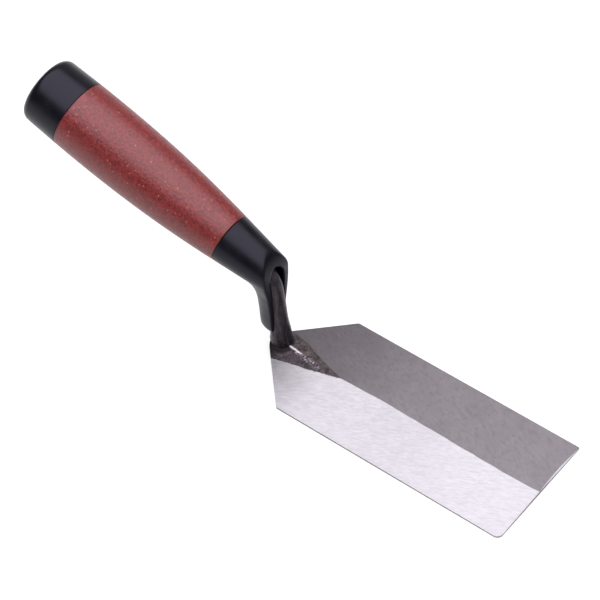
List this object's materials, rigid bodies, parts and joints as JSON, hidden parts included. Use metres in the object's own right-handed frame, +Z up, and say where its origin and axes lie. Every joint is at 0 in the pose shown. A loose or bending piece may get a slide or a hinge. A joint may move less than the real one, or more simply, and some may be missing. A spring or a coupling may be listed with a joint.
{
  "type": "margin trowel",
  "caption": "Flat rectangular steel trowel blade with a pointed heel, forged in one piece with a cranked shank, in a round two-tone moulded handle.",
  "frame": {"origin": "on the flat working face under the blade, 63.5 mm (half the nominal blade length) behind the front edge, and midway between the long edges", "axes": "+X towards the blade's front edge, +Z up from the working face to the handle, +Y across the blade"},
  "size_m": [0.2322, 0.0508, 0.0872],
  "materials": {
    "forged_steel": "ground blade, dark forging scale on the shank",
    "black_plastic": "satin moulded",
    "red_grip": "matt, finely grained"
  },
  "bodies": {
    "root": {"blade_shank_forging": "forged_steel", "handle_core": "black_plastic", "soft_grip": "red_grip", "butt_cap": "black_plastic"}
  },
  "joints": []
}
